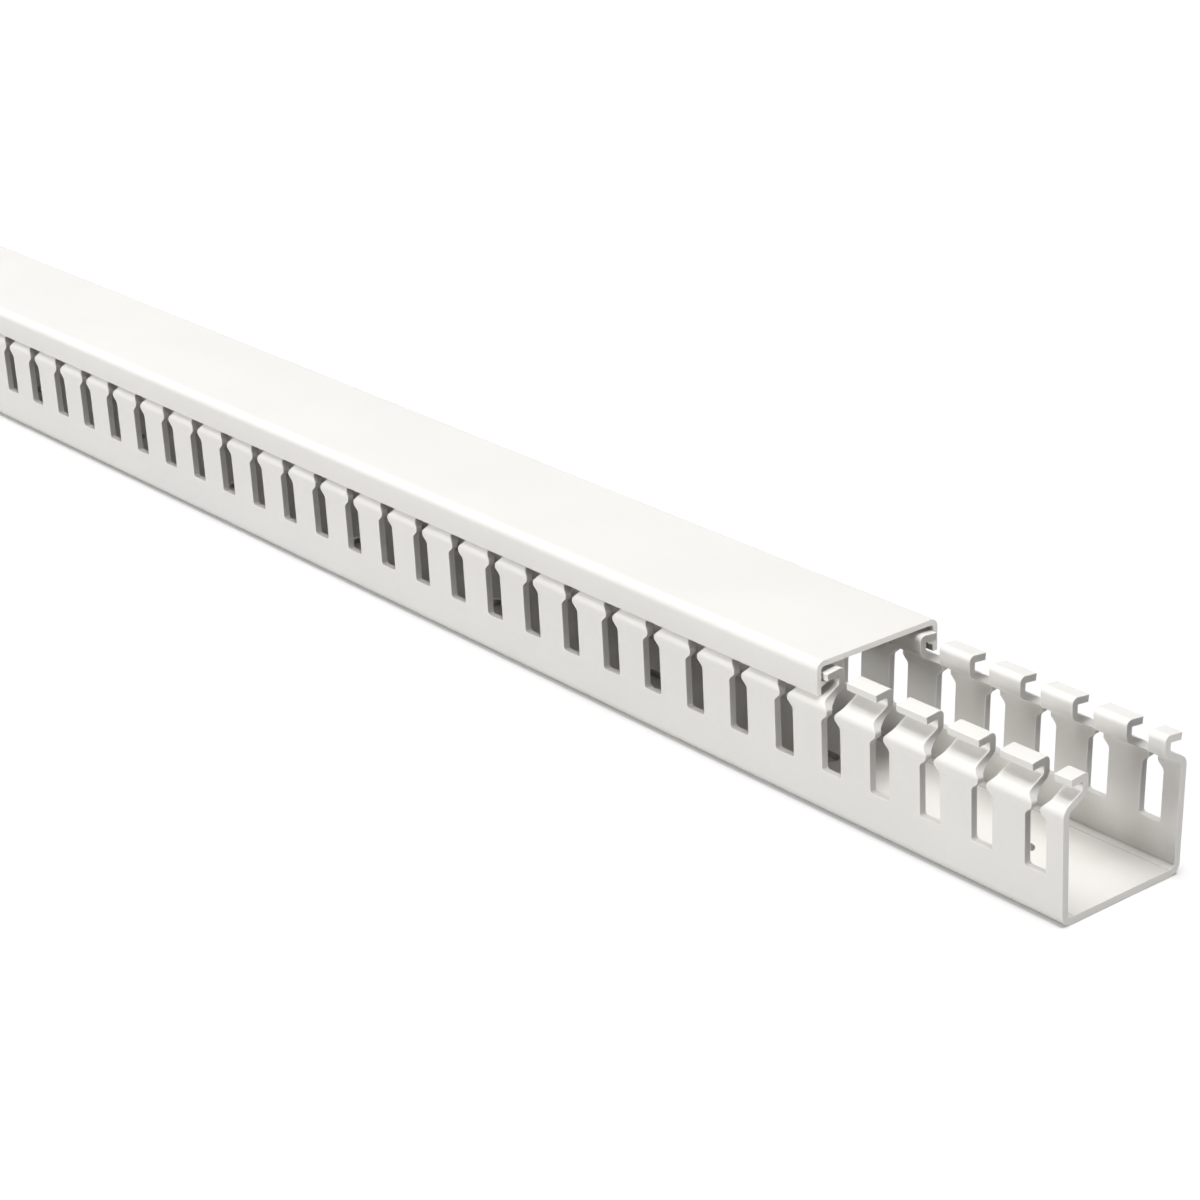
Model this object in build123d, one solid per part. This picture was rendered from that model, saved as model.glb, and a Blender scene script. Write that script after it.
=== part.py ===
from build123d import *
from math import atan2, cos, degrees, hypot, radians, sin, tan
import os

# Slotted wiring duct with its push-on cover, in millimetres.
# The length runs along X, the base rests on Z = 0, and the duct is centred on X = 0 and Y = 0.
# The cover is drawn slid back, so that the duct's end at +X lies open.

# Duct body
duct_length = 500.0
base_width = 30.0
wall_thickness = 1.5
wall_splay = 1.6             # degrees that each side wall leans outward
shoulder_height = 22.3       # where the outer faces of wall and slope would meet
slope_angle = 29.0           # degrees above level of the slope between shoulder and stem
slope_run = 4.5              # how far the stem stands in from the shoulder
stem_rise = 1.65             # from the foot of the stem to the underside of its lip
lip_reach = 2.7              # how far the lip stands out from the stem
lip_droop = 6.5              # degrees that the lip falls towards its tip
corner_bend = 0.8            # inside radius where the base meets a wall
shoulder_bend = 0.9          # inside radius of the bend from wall to slope
stem_bend = 2.0              # outside radius of the bend from slope to stem
lip_crown = 1.2              # outside radius of the bend from stem to lip

# Slots between the fingers
slot_pitch = 12.5
slot_width = 4.9
slot_floor = 8.9             # height of the slot's lower end
slot_floor_radius = 0.6
neck_gap = 2.0               # between the wings of two fingers
neck_height = 20.8
wing_tip_height = 0.9
wing_drop = 1.3              # from the wing's tip down to the root of its lower flank
wing_rise = 1.5              # from the wing's tip up to the root of its upper flank
wing_root_radius = 1.2
wing_tip_radius = 0.6

# Small bends are made of flats, and each flat turns the outline by about this many degrees
flat_turn = 40.0

# Screw slots in the base
screw_slot_pitch = 50.0
screw_slot_from_end = 25.0
screw_slot_width = 4.5
screw_slot_length = 8.0

# Cover
cover_length = 500.0
cover_thickness = 1.2
cover_setback = 60.0         # from the duct's open end to the cover's
cover_corner_radius = 1.9
cover_edge_radius = 0.3
cover_side_gap = 0.2         # between a lip's tip and the cover's side
cover_top_gap = 0.6          # between a lip and the cover's top plate
cover_skirt_gap = 0.2        # between the cover's lower edge and the slope
hook_reach = 1.3
hook_height = 1.1
hook_lead = 0.5              # the rise of the hook's slanted lower face
hook_gap = 0.3               # between a hook and the lip that it holds


def direction(start, end):
    """The unit step from one point towards another."""
    run = hypot(end[0] - start[0], end[1] - start[1])
    return ((end[0] - start[0]) / run, (end[1] - start[1]) / run)


def meeting_point(start, step, other_start, other_step):
    """Where two straight lines cross, each given by a point and a direction."""
    cross = step[0] * other_step[1] - step[1] * other_step[0]
    gap = (other_start[0] - start[0], other_start[1] - start[1])
    share = (gap[0] * other_step[1] - gap[1] * other_step[0]) / cross
    return (start[0] + share * step[0], start[1] + share * step[1])


def other_face(path, thickness):
    """The corners of a bent strip's second face, from those of its first, to the left of the path."""
    steps = [direction(start, end) for start, end in zip(path, path[1:])]
    sides = [(-step[1] * thickness, step[0] * thickness) for step in steps]
    moved = [(point[0] + side[0], point[1] + side[1]) for point, side in zip(path, sides)]
    last = (path[-1][0] + sides[-1][0], path[-1][1] + sides[-1][1])
    corners = [
        meeting_point(moved[i], steps[i], moved[i + 1], steps[i + 1])
        for i in range(len(steps) - 1)
    ]
    return [moved[0], *corners, last]


def with_flats(before, corner, after, radius):
    """Points on the arc that would round a corner, joined by flats instead of by the arc."""
    arriving = direction(before, corner)
    leaving = direction(corner, after)
    turn = atan2(
        arriving[0] * leaving[1] - arriving[1] * leaving[0],
        arriving[0] * leaving[0] + arriving[1] * leaving[1],
    )
    reach = radius * tan(abs(turn) / 2)
    flats = max(1, round(degrees(abs(turn)) / flat_turn))
    chord = 2 * radius * sin(abs(turn) / flats / 2)
    heading = atan2(arriving[1], arriving[0])
    y, z = corner[0] - reach * arriving[0], corner[1] - reach * arriving[1]
    points = [(y, z)]
    for i in range(flats):
        angle = heading + turn * (i + 0.5) / flats
        y, z = y + chord * cos(angle), z + chord * sin(angle)
        points.append((y, z))
    return points


def flattened_bends(path, radii):
    """A path whose inner corners are rounded by flats. Its two ends stay as they are."""
    points = [path[0]]
    for i, radius in enumerate(radii, start=1):
        points += with_flats(path[i - 1], path[i], path[i + 1], radius) if radius else [path[i]]
    return points + [path[-1]]


def mirrored(points):
    """The same points on the other side of the centre line, in reverse order."""
    return [(-y, z) for y, z in reversed(points)]


def extruded_along_x(points, radii, length, centre_x):
    """A rounded outline in the Y-Z plane, drawn out along X."""
    with BuildPart() as bar:
        with BuildSketch(Plane.YZ.offset(centre_x)):
            with BuildLine():
                FilletPolyline(*points, radius=radii, close=True)
            make_face()
        extrude(amount=length / 2, both=True)
    return bar.part


# Outer face of the right half of the duct's section, as (Y, Z), from the base to the lip's tip
base_corner = (base_width / 2, 0)
shoulder = (base_width / 2 + shoulder_height * tan(radians(wall_splay)), shoulder_height)
stem_foot = (shoulder[0] - slope_run, shoulder_height + slope_run * tan(radians(slope_angle)))
lip_root = (stem_foot[0], stem_foot[1] + stem_rise)
lip_tip = (lip_root[0] + lip_reach, lip_root[1] - lip_reach * tan(radians(lip_droop)))
outer_face = [(0, 0), base_corner, shoulder, stem_foot, lip_root, lip_tip]

# The same corners on the inner face, which at the lip is its top
inner_face = other_face(outer_face, wall_thickness)
lip_top = inner_face[4][1]
lip_edge = inner_face[5][0]


def duct_section():
    """The section's outline, with true arcs at the base corners, which no slot cuts."""
    outer = flattened_bends(outer_face[1:], [shoulder_bend + wall_thickness, 0, 0])
    inner = flattened_bends(inner_face[:0:-1], [lip_crown, stem_bend, shoulder_bend])
    right = outer + inner
    radii = [corner_bend + wall_thickness] + [0] * (len(right) - 2) + [corner_bend]
    return right + mirrored(right), radii + radii[::-1]


def finger_slot():
    """One slot's outline in the X-Z plane, cut through both walls and out past the lips."""
    half, neck = slot_width / 2, neck_gap / 2
    tip_low, tip_high = neck_height - wing_tip_height / 2, neck_height + wing_tip_height / 2
    edge = [
        (0, slot_floor),
        (half, slot_floor),
        (half, tip_low - wing_drop),
        (neck, tip_low),
        (neck, tip_high),
        (half, tip_high + wing_rise),
        (half, lip_top + wall_thickness),
    ]
    bends = [slot_floor_radius, wing_root_radius, wing_tip_radius, wing_tip_radius, wing_root_radius]
    right = flattened_bends(edge, bends)[1:]
    with BuildPart() as cutter:
        with BuildSketch(Plane.XZ):
            with BuildLine():
                Polyline(*right, *mirrored(right), close=True)
            make_face()
        extrude(amount=shoulder[0] + wall_thickness, both=True)
    return cutter.part


def screw_slot():
    """One oblong screw slot through the base."""
    with BuildPart() as cutter:
        with BuildSketch():
            SlotOverall(screw_slot_length, screw_slot_width)
        extrude(amount=2 * wall_thickness, both=True)
    return cutter.part


def along_duct(cutter, pitch, count):
    """Copies of a cutter in a row that is centred on the duct's length."""
    first = -pitch * (count - 1) / 2
    return [Pos(first + i * pitch, 0, 0) * cutter for i in range(count)]


def make_duct():
    slot_count = int(duct_length / slot_pitch)
    screw_slot_count = 1 + int((duct_length - 2 * screw_slot_from_end) / screw_slot_pitch)
    body = extruded_along_x(*duct_section(), duct_length, 0)
    body -= along_duct(finger_slot(), slot_pitch, slot_count)
    body -= along_duct(screw_slot(), screw_slot_pitch, screw_slot_count)
    return body


def make_cover():
    """A plate with two sides, and on each side a hook that reaches under the lips."""
    inside = lip_edge + cover_side_gap
    outside = inside + cover_thickness
    underside = lip_top + cover_top_gap
    skirt = shoulder_height + (shoulder[0] - inside) * tan(radians(slope_angle)) + cover_skirt_gap
    hook_top = lip_tip[1] - hook_gap
    hook_bottom = hook_top - hook_height
    hook_tip = inside - hook_reach
    right = [
        (outside, underside + cover_thickness),
        (outside, skirt),
        (inside, skirt),
        (inside, hook_bottom),
        (hook_tip, hook_bottom + hook_lead),
        (hook_tip, hook_top),
        (inside, hook_top),
        (inside, underside),
    ]
    edge = cover_edge_radius
    radii = [cover_corner_radius, edge, edge, 0, edge, edge, 0, cover_corner_radius - cover_thickness]
    centre_x = duct_length / 2 - cover_setback - cover_length / 2
    return extruded_along_x(right + mirrored(right), radii + radii[::-1], cover_length, centre_x)


os.makedirs("parts", exist_ok=True)
export_step(make_duct(), "parts/duct.step")
export_step(make_cover(), "parts/cover.step")
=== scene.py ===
from math import atan2, cos, hypot, pi, radians, sin, tan

import bmesh
import bpy
from mathutils import Matrix, Vector


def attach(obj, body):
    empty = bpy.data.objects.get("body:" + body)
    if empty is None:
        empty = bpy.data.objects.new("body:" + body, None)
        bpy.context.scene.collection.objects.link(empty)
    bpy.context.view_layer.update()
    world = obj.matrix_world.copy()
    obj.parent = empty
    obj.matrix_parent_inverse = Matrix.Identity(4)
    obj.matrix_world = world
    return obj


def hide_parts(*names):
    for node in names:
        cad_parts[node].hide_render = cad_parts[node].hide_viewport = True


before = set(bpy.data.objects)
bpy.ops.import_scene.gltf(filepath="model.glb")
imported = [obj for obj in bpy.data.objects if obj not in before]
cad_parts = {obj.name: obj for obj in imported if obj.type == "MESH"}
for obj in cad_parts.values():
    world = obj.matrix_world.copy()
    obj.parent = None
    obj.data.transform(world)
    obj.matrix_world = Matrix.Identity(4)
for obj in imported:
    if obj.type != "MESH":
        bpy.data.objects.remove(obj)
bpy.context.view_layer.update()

MM = 0.001

# Duct body, in millimetres and degrees
DUCT_LENGTH = 500.0
BASE_WIDTH = 30.0
WALL = 1.5                   # thickness of the base, the walls and the lips
WALL_SPLAY = 1.6             # how far each wall leans outward
SHOULDER_HEIGHT = 22.3       # where the outer faces of wall and slope would meet
SLOPE_ANGLE = 29.0           # above level, from the shoulder to the stem
SLOPE_RUN = 4.5              # how far the stem stands in from the shoulder
STEM_RISE = 1.65             # from the foot of the stem to the underside of its lip
LIP_REACH = 2.7              # how far the lip stands out from the stem
LIP_DROOP = 6.5              # how far the lip falls towards its tip

# Bends of the section as (radius on the outer face, radius on the inner face)
BASE_BEND = (2.3, 0.8)
SHOULDER_BEND = (2.4, 0.9)
STEM_BEND = (0.5, 2.0)
LIP_BEND = (0.15, 1.2)

# Two fine grooves along each inner corner of the base, one beside it and one in it
GROOVE_AT = 12.2             # from the centre line to the middle of the one beside it
GROOVE_WIDTH = 0.45
GROOVE_BOTTOM = 0.15
GROOVE_DEPTH = 0.12
CORNER_GROOVE = (6, 7)       # the points of the base bend that lie in the other one
CORNER_GROOVE_DEPTH = 0.09

# Slots between the fingers
SLOT_PITCH = 12.5
SLOT_WIDTH = 4.9
SLOT_FLOOR = 8.9             # height of the slot's lower end
SLOT_FLOOR_RADIUS = 0.6
NECK_GAP = 2.0               # between the wings of two fingers
NECK_HEIGHT = 20.8
WING_TIP_HEIGHT = 0.9
WING_DROP = 1.3              # from the wing's tip down to the root of its lower flank
WING_RISE = 1.5              # from the wing's tip up to the root of its upper flank
WING_ROOT_RADIUS = 1.2
WING_TIP_RADIUS = 0.6

# Screw slots in the base, counted in fingers and measured in millimetres
SCREW_SLOT_EVERY = 4
SCREW_SLOT_FIRST = 2
SCREW_SLOT_WIDTH = 4.5
SCREW_SLOT_LENGTH = 8.0

# Cover, in millimetres
COVER_LENGTH = 500.0
COVER_THICKNESS = 1.2
COVER_SETBACK = 60.0         # from the duct's open end to the cover's
COVER_CORNER = 1.9
COVER_EDGE = 0.3
COVER_SIDE_GAP = 0.2         # between a lip's tip and the cover's side
COVER_TOP_GAP = 0.6          # between a lip and the cover's top plate
COVER_SKIRT_GAP = 0.2        # between the cover's lower edge and the slope
HOOK_REACH = 1.3
HOOK_HEIGHT = 1.1
HOOK_LEAD = 0.5              # the rise of the hook's slanted lower face
HOOK_GAP = 0.3               # between a hook and the lip that it holds

# How finely the meshes follow the shapes
BEND_STEPS = 8
SLOPE_STEPS = 8
SLOT_BEND_STEPS = 6
SCREW_SLOT_STEPS = 8
COVER_CORNER_STEPS = 10
COVER_EDGE_STEPS = 5
COVER_PARTS = 8              # along the cover's length
LAYERS = 3                   # across the thickness, where it is cut
BEND_CLEARANCE = 0.05        # from the wall's last row of points up to the shoulder's bend
SHARED_DECIMALS = 4          # points that agree this far are one point

# Small rounds on the cut edges
EASED_TURN = 50.0            # degrees by which an eased edge turns at least
EASED_STEPS = 2
DUCT_EASED_BY = 0.09
COVER_EASED_BY = 0.08


# Plane geometry
def direction(start, end):
    """The unit step from one point towards another."""
    run = hypot(end[0] - start[0], end[1] - start[1])
    return ((end[0] - start[0]) / run, (end[1] - start[1]) / run)


def meeting_point(start, step, other_start, other_step):
    """Where two straight lines cross, each given by a point and a direction."""
    cross = step[0] * other_step[1] - step[1] * other_step[0]
    gap = (other_start[0] - start[0], other_start[1] - start[1])
    share = (gap[0] * other_step[1] - gap[1] * other_step[0]) / cross
    return (start[0] + share * step[0], start[1] + share * step[1])


def other_face(path, thickness):
    """The corners of a bent strip's second face, to the left of its first."""
    steps = [direction(start, end) for start, end in zip(path, path[1:])]
    sides = [(-step[1] * thickness, step[0] * thickness) for step in steps]
    moved = [(point[0] + side[0], point[1] + side[1]) for point, side in zip(path, sides)]
    last = (path[-1][0] + sides[-1][0], path[-1][1] + sides[-1][1])
    corners = [
        meeting_point(moved[i], steps[i], moved[i + 1], steps[i + 1])
        for i in range(len(steps) - 1)
    ]
    return [moved[0], *corners, last]


def bend(before, corner, after, radius, steps):
    """Points along the arc that rounds a corner, from its start to its end."""
    arriving = direction(before, corner)
    leaving = direction(corner, after)
    turn = atan2(
        arriving[0] * leaving[1] - arriving[1] * leaving[0],
        arriving[0] * leaving[0] + arriving[1] * leaving[1],
    )
    reach = radius * tan(abs(turn) / 2)
    side = 1 if turn > 0 else -1
    start = (corner[0] - reach * arriving[0], corner[1] - reach * arriving[1])
    centre = (start[0] - side * radius * arriving[1], start[1] + side * radius * arriving[0])
    first = atan2(start[1] - centre[1], start[0] - centre[0])
    angles = [first + turn * k / steps for k in range(steps + 1)]
    return [(centre[0] + radius * cos(angle), centre[1] + radius * sin(angle)) for angle in angles]


def between(start, end, share):
    """The point that lies a share of the way from one point to another."""
    return tuple(a + share * (b - a) for a, b in zip(start, end))


# Outer face of the right half of the duct's section, as (Y, Z), from the base to the lip's tip
shoulder_y = BASE_WIDTH / 2 + SHOULDER_HEIGHT * tan(radians(WALL_SPLAY))
stem_y = shoulder_y - SLOPE_RUN
stem_foot_z = SHOULDER_HEIGHT + SLOPE_RUN * tan(radians(SLOPE_ANGLE))
lip_root_z = stem_foot_z + STEM_RISE
lip_tip_z = lip_root_z - LIP_REACH * tan(radians(LIP_DROOP))
OUTER = [
    (0, 0),
    (BASE_WIDTH / 2, 0),
    (shoulder_y, SHOULDER_HEIGHT),
    (stem_y, stem_foot_z),
    (stem_y, lip_root_z),
    (stem_y + LIP_REACH, lip_tip_z),
]

# The same corners on the inner face, which at the lip is its top
INNER = other_face(OUTER, WALL)
lip_top_z = INNER[-2][1]
lip_edge_y = INNER[-1][0]


def slot_profile():
    """The slot's right edge from its floor up, as (half of the gap, height)."""
    half, neck = SLOT_WIDTH / 2, NECK_GAP / 2
    low, high = NECK_HEIGHT - WING_TIP_HEIGHT / 2, NECK_HEIGHT + WING_TIP_HEIGHT / 2
    edge = [
        (0, SLOT_FLOOR),
        (half, SLOT_FLOOR),
        (half, low - WING_DROP),
        (neck, low),
        (neck, high),
        (half, high + WING_RISE),
        (half, lip_top_z),
    ]
    radii = [SLOT_FLOOR_RADIUS, WING_ROOT_RADIUS, WING_TIP_RADIUS, WING_TIP_RADIUS, WING_ROOT_RADIUS]
    profile = []
    for i, radius in enumerate(radii, start=1):
        profile += bend(edge[i - 1], edge[i], edge[i + 1], radius, SLOT_BEND_STEPS)
    return profile


PROFILE = slot_profile()


def finger_half(height):
    """Half of a finger's width at a height: half of the pitch less half of the gap."""
    if height <= PROFILE[0][1]:
        return SLOT_PITCH / 2 - PROFILE[0][0]
    for (gap, low), (next_gap, high) in zip(PROFILE, PROFILE[1:]):
        if height <= high:
            share = (height - low) / (high - low) if high > low else 0
            return SLOT_PITCH / 2 - gap - share * (next_gap - gap)
    return SLOT_PITCH / 2 - PROFILE[-1][0]


def bend_pairs(corner, radii):
    """Pairs of points, one on the outer and one on the inner face, round the corner of that number."""
    outer, inner = (
        bend(*face[corner - 1 : corner + 2], radius, BEND_STEPS)
        for face, radius in zip((OUTER, INNER), radii)
    )
    return list(zip(outer, inner))


def base_bend_pairs():
    """The pairs round the base's corner, with the inner face sunk where the groove runs in it."""
    pairs = bend_pairs(1, BASE_BEND)
    for k in CORNER_GROOVE:
        outer, inner = pairs[k]
        thickness = hypot(outer[0] - inner[0], outer[1] - inner[1])
        pairs[k] = (outer, between(inner, outer, CORNER_GROOVE_DEPTH / thickness))
    return pairs


def groove_pairs():
    """The pairs across the groove beside the base's corner."""
    top, bottom = GROOVE_WIDTH / 2, GROOVE_BOTTOM / 2
    shape = [(-top, 0), (-bottom, GROOVE_DEPTH), (bottom, GROOVE_DEPTH), (top, 0)]
    return [((GROOVE_AT + aside, 0), (GROOVE_AT + aside, WALL - depth)) for aside, depth in shape]


def wall_pair(height):
    """The pair on the straight stretch of the wall that lies at a height."""
    return tuple(
        between(foot, top, (height - foot[1]) / (top[1] - foot[1]))
        for foot, top in (OUTER[1:3], INNER[1:3])
    )


def duct_section():
    """Half of the duct's section, from the base to the lip, as pairs of points on its two faces.

    With it come the number of the pair at the slots' floor, and the numbers of the pairs after
    which the inner face is grooved.
    """
    beside = groove_pairs()
    base = base_bend_pairs()
    shoulder = bend_pairs(2, SHOULDER_BEND)
    stem = bend_pairs(3, STEM_BEND)
    lip = bend_pairs(4, LIP_BEND)
    pairs = [(OUTER[0], INNER[0]), *beside, *base]
    in_corner = 1 + len(beside) + CORNER_GROOVE[0]
    scored_painted_shade = {*range(1, len(beside)), *range(in_corner - 1, in_corner + len(CORNER_GROOVE))}
    slot_floor = len(pairs)
    wall_top = min(z for _, z in shoulder[0])
    pairs += [wall_pair(z) for _, z in PROFILE if z < wall_top - BEND_CLEARANCE]
    shares = [k / SLOPE_STEPS for k in range(1, SLOPE_STEPS)]
    slope = [tuple(between(*ends, share) for ends in zip(shoulder[-1], stem[0])) for share in shares]
    pairs += [*shoulder, *slope, *stem, *lip, (OUTER[-1], INNER[-1])]
    return pairs, slot_floor, scored_painted_shade


class Skin:
    """Points and faces of one mesh, in millimetres. Points at the same place are shared."""

    def __init__(self):
        self.points = []
        self.places = {}
        self.faces = []
        self.kinds = []

    def point(self, place):
        # Adding 0.0 turns -0.0 into 0.0
        key = tuple(round(v, SHARED_DECIMALS) + 0.0 for v in place)
        if key not in self.places:
            self.places[key] = len(self.points)
            self.points.append(place)
        return self.places[key]

    def face(self, places, kind):
        """Adds a face of one kind. Corners at the same place count as one, and it needs three."""
        corners = []
        for place in places:
            index = self.point(place)
            if index not in corners:
                corners.append(index)
        if len(corners) > 2:
            self.faces.append(corners)
            self.kinds.append(kind)

    def made(self, name, finishes):
        """The object, with the finish of its kind on each face."""
        mesh = bpy.data.meshes.new(name)
        mesh.from_pydata([tuple(v * MM for v in point) for point in self.points], [], self.faces)
        slots = {kind: slot for slot, kind in enumerate(finishes)}
        for finish in finishes.values():
            mesh.materials.append(finish)
        for polygon, kind in zip(mesh.polygons, self.kinds):
            polygon.material_index = slots[kind]
            polygon.use_smooth = True
        shape = bmesh.new()
        shape.from_mesh(mesh)
        bmesh.ops.recalc_face_normals(shape, faces=shape.faces)
        shape.to_mesh(mesh)
        shape.free()
        piece = bpy.data.objects.new(name, mesh)
        bpy.context.scene.collection.objects.link(piece)
        return piece


def eased(piece, width, finishes):
    """Breaks the sharp edges with a small round, paints a highlight on the round through its lighter edge
    finish, and keeps the wide faces flat in their shading.
    """
    ease = piece.modifiers.new("eased edges", "BEVEL")
    ease.width = width * MM
    ease.segments = EASED_STEPS
    ease.limit_method = "ANGLE"
    ease.angle_limit = radians(EASED_TURN)
    ease.use_clamp_overlap = False
    ease.harden_normals = True
    # the rounds get the lighter edge finish, a painted highlight along every eased edge
    ease.material = list(finishes).index("edge")
    return piece


def layer_point(pair, layer):
    """The point between the two of a pair at which a layer of the thickness starts."""
    return between(*pair, layer / LAYERS)


def half_cell(skin, at, section, screw_slot, sawn_end):
    """Half a pitch of one half of the duct: from a finger's middle to the middle of a slot.

    at(along, point) says where a point of the section lies, that far along from the finger's middle.
    """
    pairs, slot_floor, scored_painted_shade = section
    slot_middle = SLOT_PITCH / 2
    column = finger_half(SLOT_FLOOR)

    def patch(low, low_ends, high, high_ends, kind):
        """A face between two points of the section, each drawn out along the duct between its ends."""
        corners = [(low_ends[0], low), (low_ends[1], low), (high_ends[1], high), (high_ends[0], high)]
        skin.face([at(along, point) for along, point in corners], kind)

    def finger_patch(low, high, kind):
        """A face from the finger's middle to its edge."""
        patch(low, (0, finger_half(low[1])), high, (0, finger_half(high[1])), kind)

    for i, (here, there) in enumerate(zip(pairs, pairs[1:])):
        for face in range(2):
            if i >= slot_floor:
                finger_patch(here[face], there[face], "drawn")
            elif i > 0 or not screw_slot:
                # faces in the grooves get a darker finish: painted shade in the grooves
                kind = "scored_painted_shade" if face and i in scored_painted_shade else "drawn"
                for ends in ((0, column), (column, slot_middle)):
                    patch(here[face], ends, there[face], ends, kind)
        for layer in range(LAYERS):
            corners = [
                layer_point(here, layer),
                layer_point(here, layer + 1),
                layer_point(there, layer + 1),
                layer_point(there, layer),
            ]
            if i >= slot_floor:
                skin.face([at(finger_half(point[1]), point) for point in corners], "punched")
            if sawn_end:
                skin.face([at(0, point) for point in corners], "sawn")
    ends = (column, slot_middle)
    for layer in range(LAYERS):
        low, high = (layer_point(pairs[slot_floor], k) for k in (layer, layer + 1))
        patch(low, ends, high, ends, "punched")
        low, high = (layer_point(pairs[-1], k) for k in (layer, layer + 1))
        finger_patch(low, high, "punched")
    if screw_slot:
        quarter_screw_slot(skin, at, pairs[:2], column, slot_middle)


def quarter_screw_slot(skin, at, flat, column, slot_middle):
    """A quarter of a screw slot, and the flat of the base round it."""
    radius = SCREW_SLOT_WIDTH / 2
    straight = SCREW_SLOT_LENGTH / 2 - radius
    turns = [pi / 2 * k / SCREW_SLOT_STEPS for k in range(SCREW_SLOT_STEPS + 1)]
    rim = [(straight + radius * cos(turn), radius * sin(turn)) for turn in turns] + [(0, radius)]
    middle, edge = flat
    for face in range(2):
        height, edge_y = middle[face][1], edge[face][0]
        outline = [(slot_middle, 0), (slot_middle, edge_y), (column, edge_y), (0, edge_y), *rim[::-1]]
        skin.face([at(along, (y, height)) for along, y in outline], "drawn")
    low, high = middle[0][1], middle[1][1]
    for start, end in zip(rim, rim[1:]):
        corners = [(start, low), (end, low), (end, high), (start, high)]
        skin.face([at(along, (y, height)) for (along, y), height in corners], "punched")


def placing(finger_middle, way, side):
    """Places points on one side of the duct, and one way along it from a finger's middle."""
    return lambda along, point: (finger_middle + way * along, side * point[0], point[1])


def duct_body(finishes):
    """The duct, put together finger by finger from half cells."""
    section = duct_section()
    skin = Skin()
    last = round(DUCT_LENGTH / SLOT_PITCH)
    for finger in range(last + 1):
        finger_middle = finger * SLOT_PITCH - DUCT_LENGTH / 2
        screw_slot = finger % SCREW_SLOT_EVERY == SCREW_SLOT_FIRST
        for way in (-1, 1):
            if not 0 <= finger + way <= last:
                continue
            for side in (-1, 1):
                at = placing(finger_middle, way, side)
                half_cell(skin, at, section, screw_slot, sawn_end=finger in (0, last))
    return eased(skin.made("duct_body_shell", finishes), DUCT_EASED_BY, finishes)


def cover_outline():
    """The cover's section, its round corners drawn as arcs."""
    inside = lip_edge_y + COVER_SIDE_GAP
    outside = inside + COVER_THICKNESS
    underside = lip_top_z + COVER_TOP_GAP
    skirt = SHOULDER_HEIGHT + (shoulder_y - inside) * tan(radians(SLOPE_ANGLE)) + COVER_SKIRT_GAP
    hook_top = lip_tip_z - HOOK_GAP
    hook_bottom = hook_top - HOOK_HEIGHT
    hook_tip = inside - HOOK_REACH
    right = [
        (outside, underside + COVER_THICKNESS),
        (outside, skirt),
        (inside, skirt),
        (inside, hook_bottom),
        (hook_tip, hook_bottom + HOOK_LEAD),
        (hook_tip, hook_top),
        (inside, hook_top),
        (inside, underside),
    ]
    edge = COVER_EDGE
    radii = [COVER_CORNER, edge, edge, 0, edge, edge, 0, COVER_CORNER - COVER_THICKNESS]
    corners = right + [(-y, z) for y, z in reversed(right)]
    afters = corners[1:] + corners[:1]
    outline = []
    for i, (corner, after, radius) in enumerate(zip(corners, afters, radii + radii[::-1])):
        if radius:
            steps = COVER_CORNER_STEPS if radius == COVER_CORNER else COVER_EDGE_STEPS
            outline += bend(corners[i - 1], corner, after, radius, steps)
        else:
            outline.append(corner)
    return outline


def cover_shell(finishes):
    """The cover, its section drawn out along X in a few equal parts."""
    outline = cover_outline()
    skin = Skin()
    end = DUCT_LENGTH / 2 - COVER_SETBACK
    places = [end - COVER_LENGTH * k / COVER_PARTS for k in range(COVER_PARTS + 1)]
    for x, next_x in zip(places, places[1:]):
        for (y, z), (next_y, next_z) in zip(outline, outline[1:] + outline[:1]):
            skin.face([(x, y, z), (next_x, y, z), (next_x, next_y, next_z), (x, next_y, next_z)], "drawn")
    for x in (places[0], places[-1]):
        skin.face([(x, y, z) for y, z in outline], "sawn")
    return eased(skin.made("cover_shell", finishes), COVER_EASED_BY, finishes)


# Finishes
TONE = (0.72, 0.705, 0.675)
PUNCHED_SHADE = 0.985        # how light the plastic is on cut, eased and grooved faces, as shares of TONE; the lighter eased faces are a painted highlight, the darker grooved faces painted shade
EDGE_PAINTED_HIGHLIGHT = 1.03
# the grooves' faces are painted darker: painted shade in the grooves
SCORED_PAINTED_SHADE = 0.8
DARKEST = 0.965              # the plastic's darkest and lightest spots, as shares of its tone
LIGHTEST = 1.02
CLOUD_SCALE = 38             # how close together the wide clouds in it lie, and the specks
SPECK_SCALE = 900
COLOUR_SHARES = (0.6, 0.2, 0.2)
ROUGHNESS_SHARES = (0.05, 0.03, 0.03)
SMOOTHER_BY = 0.05           # how far the smoothest spots fall below the stated roughness
FINE_DEPTH = 0.02 * MM
SAW_DEPTH = 0.03 * MM
RELIEF_STRENGTH = 0.5
PLASTIC_IOR = 1.53
NOISE_RANGE = (0.3, 0.7)     # nearly all of a noise texture's values lie between these
WHITE = (1, 1, 1, 1)


class Value:
    """One socket of a material, which can be added and multiplied."""

    def __init__(self, finish, socket):
        self.finish = finish
        self.socket = socket

    def math(self, operation, first, second):
        return self.finish.node("ShaderNodeMath", {"operation": operation}, {0: first, 1: second})

    def __add__(self, other):
        return self.math("ADD", self, other)

    __radd__ = __add__

    def __mul__(self, other):
        return self.math("MULTIPLY", self, other)

    __rmul__ = __mul__


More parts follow.
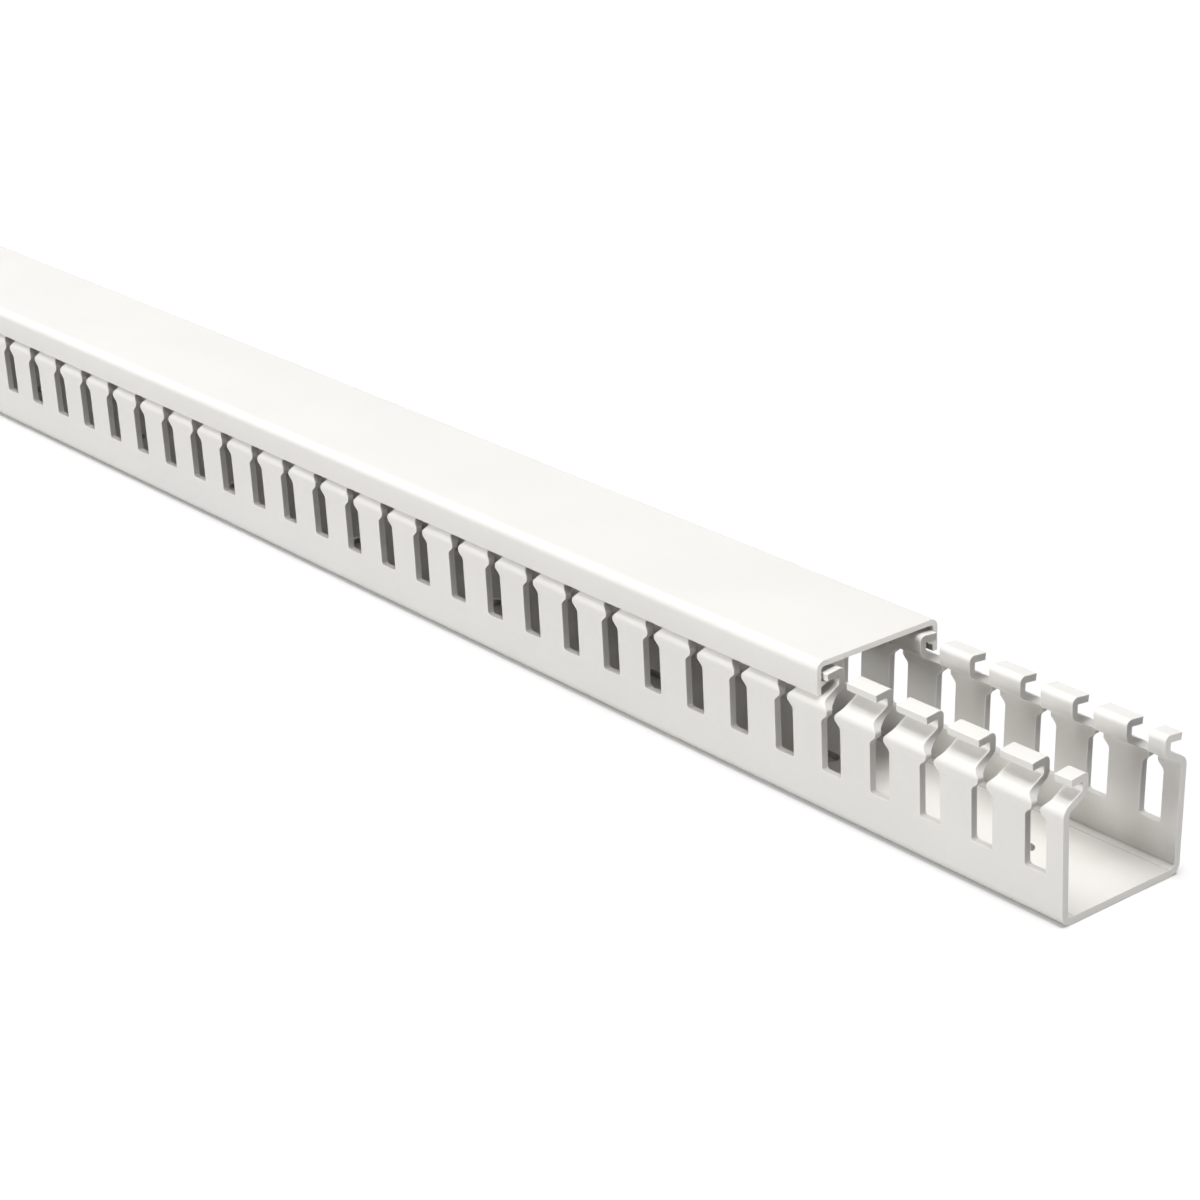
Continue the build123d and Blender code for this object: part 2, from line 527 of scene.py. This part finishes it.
class Finish:
    """The nodes of one material, or of the world, made one call a node."""

    def __init__(self, owner):
        self.owner = owner
        owner.use_nodes = True
        self.nodes = owner.node_tree.nodes
        self.links = owner.node_tree.links
        self.nodes.clear()

    def node(self, kind, settings=None, inputs=None, output=0):
        """Makes a node, sets or links its inputs, and gives the output asked for, if it has any."""
        made = self.nodes.new(kind)
        for name, value in (settings or {}).items():
            setattr(made, name, value)
        for key, value in (inputs or {}).items():
            if isinstance(value, Value):
                self.links.new(value.socket, made.inputs[key])
            else:
                made.inputs[key].default_value = value
        return Value(self, made.outputs[output]) if made.outputs else None

    def scaled(self, place, sizes):
        """A place with each of its three coordinates multiplied."""
        return self.node("ShaderNodeVectorMath", {"operation": "MULTIPLY"}, {0: place, 1: sizes})

    def spread(self, value, low, high):
        """A value stretched so that low becomes 0 and high becomes 1."""
        inputs = {"Value": value, "From Min": low, "From Max": high}
        return self.node("ShaderNodeMapRange", {"clamp": True}, inputs)

    def noise(self, place, scale, detail, roughness=0.5):
        """Soft noise, stretched to run from 0 to 1."""
        inputs = {"Vector": place, "Scale": scale, "Detail": detail, "Roughness": roughness}
        return self.spread(self.node("ShaderNodeTexNoise", {}, inputs), *NOISE_RANGE)

    def size(self, value):
        """A value without its sign."""
        return self.node("ShaderNodeMath", {"operation": "ABSOLUTE"}, {0: value})

    def blend(self, factor, first, second):
        """Two colours mixed. The node's sockets for colours are its inputs 6 and 7 and its output 2."""
        inputs = {"Factor": factor, 6: first, 7: second}
        return self.node("ShaderNodeMix", {"data_type": "RGBA"}, inputs, 2)

    def seen_directly(self):
        """1 to the camera, in a mirror and through glass, and 0 to light that is on its way round."""
        rays = ("Is Camera Ray", "Is Glossy Ray", "Is Transmission Ray")
        camera, mirror, glass = (self.node("ShaderNodeLightPath", output=ray) for ray in rays)
        return self.spread(camera + mirror + glass, 0, 1)

    def ends(self, shader, output="ShaderNodeOutputMaterial"):
        """Leads a shader to the output node, and gives back the material or world."""
        self.node(output, {}, {"Surface": shader})
        return self.owner


def mixed(values, shares):
    """The sum of some values, each times its share."""
    first, *others = (value * share for value, share in zip(values, shares))
    return sum(others, first)


def toned(share):
    """The plastic's tone, made darker or lighter."""
    return tuple(min(v * share, 1) for v in TONE)


def plastic(name, tone, roughness, relief, depth=FINE_DEPTH):
    """Satin rigid plastic. relief(finish, place) gives the heights of its fine surface, 0 to 1."""
    finish = Finish(bpy.data.materials.new(name))
    place = finish.node("ShaderNodeTexCoord", output="Object")
    clouds = finish.noise(place, CLOUD_SCALE, detail=3)
    specks = finish.noise(place, SPECK_SCALE, detail=2)
    height = relief(finish, place)
    varied = (clouds, specks, height)
    darker = tuple(v * DARKEST for v in tone) + (1,)
    lighter = tuple(min(v * LIGHTEST, 1) for v in tone) + (1,)
    colour = finish.blend(mixed(varied, COLOUR_SHARES), darker, lighter)
    rough = mixed(varied, ROUGHNESS_SHARES) + (roughness - SMOOTHER_BY)
    raised = {"Strength": RELIEF_STRENGTH, "Distance": depth, "Height": height}
    bump = finish.node("ShaderNodeBump", {}, raised)
    surface = {"Base Color": colour, "Roughness": rough, "Normal": bump, "IOR": PLASTIC_IOR}
    return finish.ends(finish.node("ShaderNodeBsdfPrincipled", {}, surface))


def lined(finish, place, stretch, grain, share, detail=3, roughness=0.6):
    """Fine lines, close together along the axes that stretch is large for, and grain in the rest."""
    lines = finish.noise(finish.scaled(place, stretch), 1, detail, roughness)
    specks = finish.noise(place, grain, detail=2)
    return mixed((lines, specks), (share, 1 - share))


def drawn(finish, place):
    """Faint lines along the length, as an extrusion die leaves them."""
    return lined(finish, place, stretch=(6, 1600, 1600), grain=2600, share=0.7)


def sheared(finish, place):
    """Fine upright and slanting marks of a punch."""
    return lined(finish, place, stretch=(1800, 300, 1800), grain=3200, share=0.6)


def sawn(finish, place):
    """Close saw marks across an end."""
    stretch = (900, 420, 2400)
    return lined(finish, place, stretch, grain=4200, share=0.65, detail=4, roughness=0.65)


duct_finishes = {
    "drawn": plastic("duct_plastic_drawn", TONE, roughness=0.42, relief=drawn),
    "punched": plastic("duct_plastic_punched", toned(PUNCHED_SHADE), roughness=0.52, relief=sheared),
    "sawn": plastic("duct_plastic_sawn", TONE, roughness=0.58, relief=sawn, depth=SAW_DEPTH),
    # The edge finish is lighter than the plastic: a painted highlight on every eased edge
    "edge": plastic("duct_plastic_edge_painted_highlight", toned(EDGE_PAINTED_HIGHLIGHT), roughness=0.4, relief=drawn),
    # The grooves' finish is darker than the plastic: painted shade in the grooves
    "scored_painted_shade": plastic("duct_plastic_scored_painted_shade", toned(SCORED_PAINTED_SHADE), roughness=0.55, relief=drawn),
}
cover_finishes = {
    "drawn": plastic("cover_plastic_drawn", TONE, roughness=0.4, relief=drawn),
    "sawn": plastic("cover_plastic_sawn", TONE, roughness=0.58, relief=sawn, depth=SAW_DEPTH),
    # The edge finish is lighter than the plastic: a painted highlight on every eased edge
    "edge": plastic("cover_plastic_edge_painted_highlight", toned(EDGE_PAINTED_HIGHLIGHT), roughness=0.4, relief=drawn),
}

duct = duct_body(duct_finishes)
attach(duct, "duct_body")
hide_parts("duct")

cover = cover_shell(cover_finishes)
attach(cover, "cover_body")
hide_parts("cover")

# Studio, in metres
FLOOR_HALF = 8.0
FLOOR_DROP = 0.02 * MM       # keeps the floor just clear of the base
GLOW_FROM = 0.012            # distance from the duct's centre line at which the floor's own light sets in
GLOW_FULL = 0.03


def grey(tone):
    return (tone, tone, tone, 1)


def studio_floor(seen_tone, lit_tone, glow):
    """A wide pale floor. It looks white, keeps the object's shadow and throws little light back."""
    finish = Finish(bpy.data.materials.new("studio_floor"))
    place = finish.node("ShaderNodeTexCoord", output="Object")
    across = finish.node("ShaderNodeSeparateXYZ", {}, {0: place}, "Y")
    beside = finish.spread(finish.size(across), GLOW_FROM, GLOW_FULL)
    seen = finish.seen_directly()
    lit = finish.node("ShaderNodeBsdfDiffuse", {}, {"Color": grey(lit_tone)})
    pale = finish.node("ShaderNodeBsdfDiffuse", {}, {"Color": grey(seen_tone)})
    white = finish.node("ShaderNodeEmission", {}, {"Color": WHITE, "Strength": 1.0})
    shown = finish.node("ShaderNodeMixShader", {}, {0: beside * glow, 1: pale, 2: white})
    shader = finish.node("ShaderNodeMixShader", {}, {0: seen, 1: lit, 2: shown})
    corners = [(x * FLOOR_HALF, y * FLOOR_HALF, 0) for x, y in ((-1, -1), (1, -1), (1, 1), (-1, 1))]
    mesh = bpy.data.meshes.new("floor")
    mesh.from_pydata(corners, [], [(0, 1, 2, 3)])
    mesh.materials.append(finish.ends(shader))
    floor = bpy.data.objects.new("floor", mesh)
    floor.location.z = -FLOOR_DROP
    bpy.context.scene.collection.objects.link(floor)


def sky(strength):
    """Faint light from all round, and a white background where it is seen directly."""
    finish = Finish(bpy.data.worlds.new("studio"))
    bpy.context.scene.world = finish.owner
    faint = finish.node("ShaderNodeBackground", {}, {"Color": WHITE, "Strength": strength})
    white = finish.node("ShaderNodeBackground", {}, {"Color": WHITE, "Strength": 1.0})
    shader = finish.node("ShaderNodeMixShader", {}, {0: finish.seen_directly(), 1: faint, 2: white})
    finish.ends(shader, "ShaderNodeOutputWorld")


def sun(name, towards, strength, softness):
    """A lamp far away in one direction. Its softness is the angle that it fills, in degrees."""
    lamp = bpy.data.lights.new(name, "SUN")
    lamp.energy = strength
    lamp.angle = radians(softness)
    holder = bpy.data.objects.new(name, lamp)
    holder.rotation_euler = Vector(towards).to_track_quat("Z", "Y").to_euler()
    bpy.context.scene.collection.objects.link(holder)


studio_floor(seen_tone=0.9, lit_tone=0.15, glow=0.75)
sky(strength=0.04)
sun("key", towards=(0.0, 0.0, 1.0), strength=3.45, softness=35)
sun("front", towards=(-0.15, -1.0, 0.08), strength=3.4, softness=25)
sun("end", towards=(1.0, 0.0, 0.0), strength=2.4, softness=8)
sun("right", towards=(1.0, -0.33, 0.5), strength=0.3, softness=10)
sun("back", towards=(0.0, 1.0, 0.0), strength=1.2, softness=8)

# Camera at the photo's place and angle, in metres and degrees, with its lens in millimetres
CAMERA_PLACE = (0.550438, -0.354238, 0.249803)
CAMERA_AZIMUTH = 51.239
CAMERA_ELEVATION = 22.700
CAMERA_ROLL = -1.758
CAMERA_LENS = 90.142
CAMERA_SENSOR = 36
CAMERA_NEAREST = 0.01
CAMERA_FARTHEST = 50


def photo_camera():
    """A level camera at that place, turned to its azimuth and elevation and then rolled."""
    azimuth, elevation = radians(CAMERA_AZIMUTH), radians(CAMERA_ELEVATION)
    ahead = Vector((-sin(azimuth) * cos(elevation), cos(azimuth) * cos(elevation), -sin(elevation)))
    level = ahead.cross(Vector((0, 0, 1))).normalized()
    upright = level.cross(ahead)
    roll = radians(CAMERA_ROLL)
    right = level * cos(roll) + upright * sin(roll)
    up = right.cross(ahead)
    lens = bpy.data.cameras.new("photo_view")
    lens.lens = CAMERA_LENS
    lens.sensor_width = CAMERA_SENSOR
    lens.clip_start = CAMERA_NEAREST
    lens.clip_end = CAMERA_FARTHEST
    camera = bpy.data.objects.new("photo_view", lens)
    turn = Matrix((right, up, -ahead)).transposed().to_4x4()
    camera.matrix_world = Matrix.Translation(CAMERA_PLACE) @ turn
    bpy.context.scene.collection.objects.link(camera)
    bpy.context.scene.camera = camera


photo_camera()
bpy.context.scene.view_settings.view_transform = "Standard"
